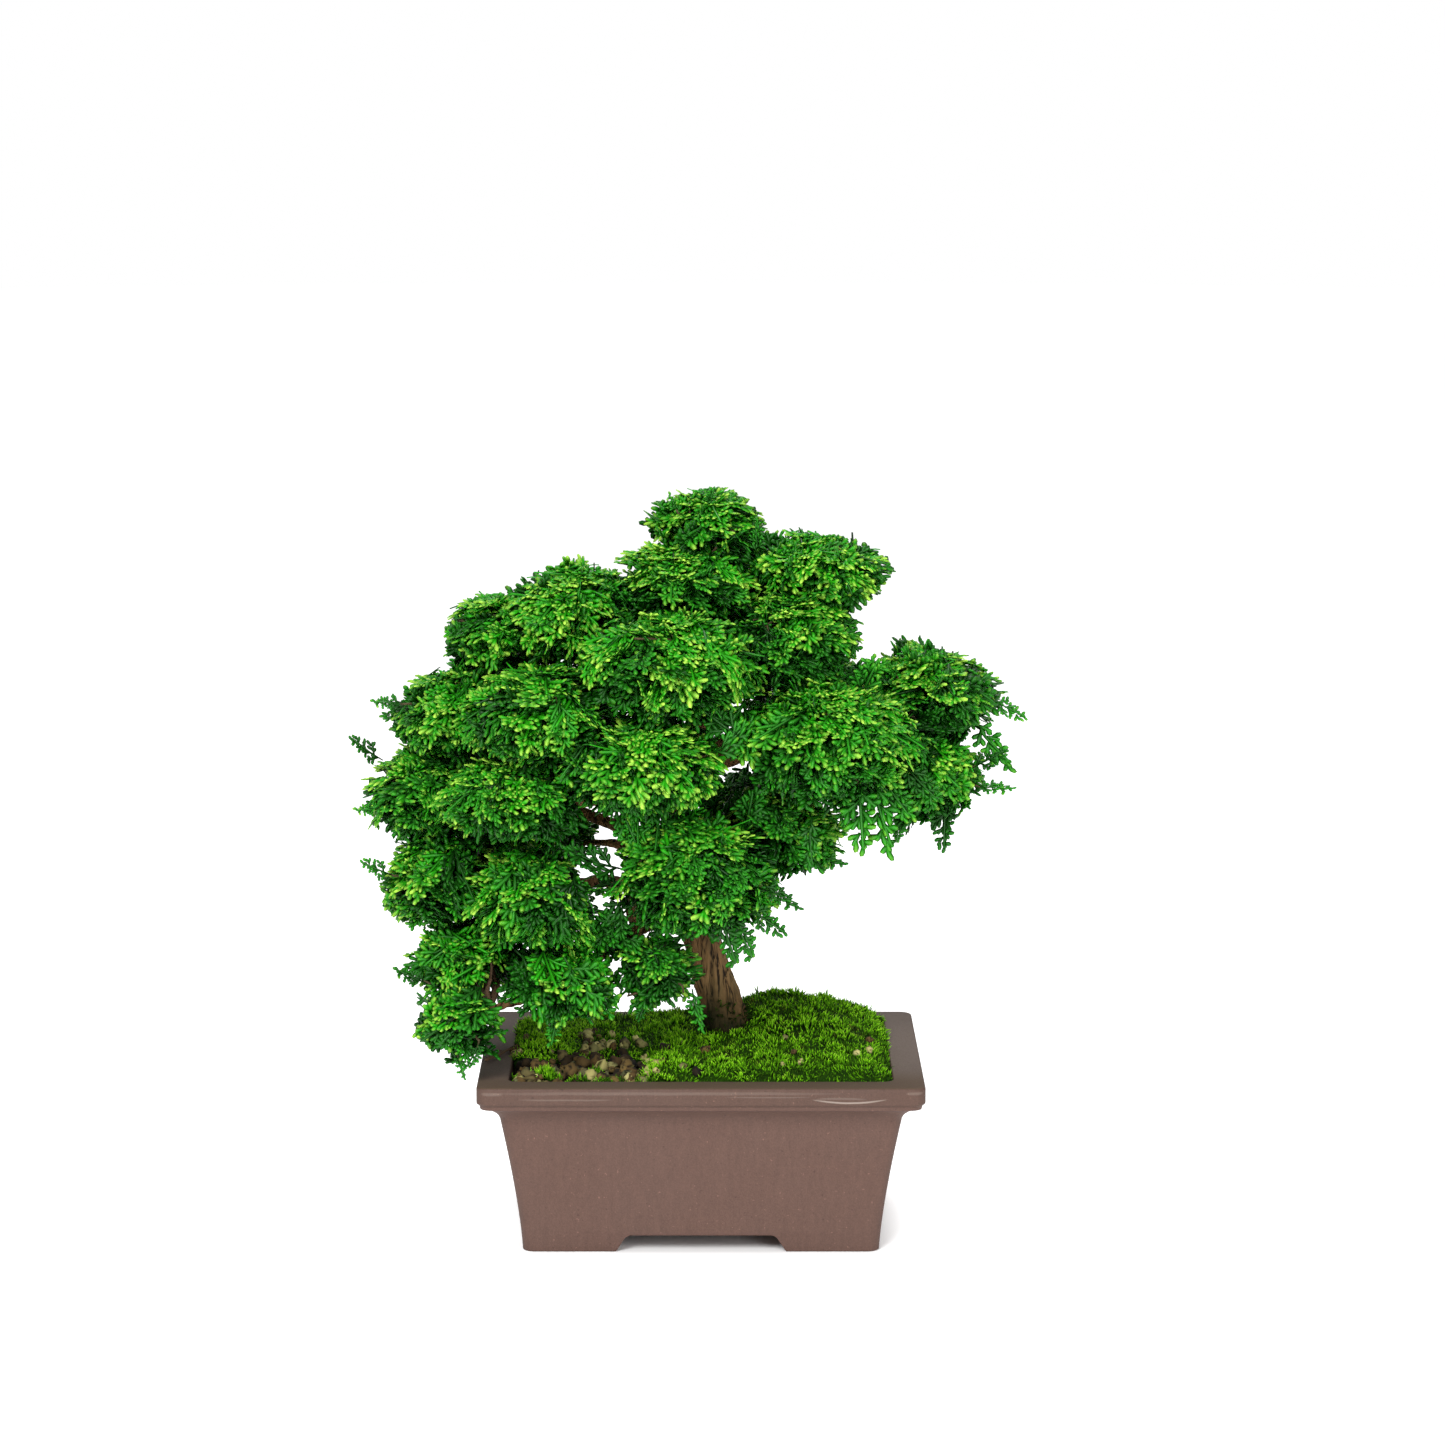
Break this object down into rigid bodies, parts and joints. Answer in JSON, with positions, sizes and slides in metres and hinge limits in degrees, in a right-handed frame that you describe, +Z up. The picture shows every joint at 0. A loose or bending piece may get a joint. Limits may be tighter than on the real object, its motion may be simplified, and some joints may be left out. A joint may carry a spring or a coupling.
{
  "type": "bonsai tree in a pot",
  "caption": "Dwarf hinoki cypress grown as an informal leaning bonsai, in a rectangular unglazed stoneware pot with moss and granular soil.",
  "frame": {"origin": "middle of the underside of the whole plant's bounding box, on the surface that the pot's feet stand on", "axes": "+Z up along the height, +X to the right and -Y towards the viewer when the pot's long front face is seen; the trunk leans to -X"},
  "size_m": [0.2958, 0.1914, 0.3402],
  "materials": {
    "stoneware": "matte",
    "drain_mesh": "matte",
    "copper_wire": "satin",
    "soil": "matte",
    "moss": "matte",
    "granule": "matte",
    "bark": "matte",
    "foliage": "matte"
  },
  "bodies": {
    "root": {"drain_screen_left": "drain_mesh", "drain_screen_right": "drain_mesh", "fallen_twig": "bark", "foliage_apex": "foliage", "foliage_back_left": "foliage", "foliage_back_low_left": "foliage", "foliage_back_low_right": "foliage", "foliage_back_right": "foliage", "foliage_back_upper": "foliage", "foliage_centre_dome": "foliage", "foliage_centre_front": "foliage", "foliage_far_right_lower": "foliage", "foliage_far_right_upper": "foliage", "foliage_far_upper_left": "foliage", "foliage_left_front_lower": "foliage", "foliage_left_front_middle": "foliage", "foliage_left_front_upper": "foliage", "foliage_left_hanging": "foliage", "foliage_left_lower": "foliage", "foliage_left_middle": "foliage", "foliage_left_shoulder": "foliage", "foliage_left_tip": "foliage", "foliage_low_centre_fan": "foliage", "foliage_low_front": "foliage", "foliage_low_left_fan": "foliage", "foliage_right_front": "foliage", "foliage_right_low": "foliage", "foliage_right_shoulder": "foliage", "foliage_upper_centre": "foliage", "foliage_upper_left": "foliage", "foliage_upper_right": "foliage", "granule_01": "granule", "granule_02": "granule", "granule_03": "granule", "granule_04": "granule", "granule_05": "granule", "granule_06": "granule", "granule_07": "granule", "granule_08": "granule", "granule_09": "granule", "granule_10": "granule", "granule_11": "granule", "granule_12": "granule", "granule_13": "granule", "granule_14": "granule", "moss_back_cushion": "moss", "moss_left_cushion": "moss", "moss_mound": "moss", "pot": "stoneware", "screen_wire_left": "copper_wire", "screen_wire_right": "copper_wire", "soil": "soil", "trunk_and_branches": "bark"}
  },
  "joints": []
}
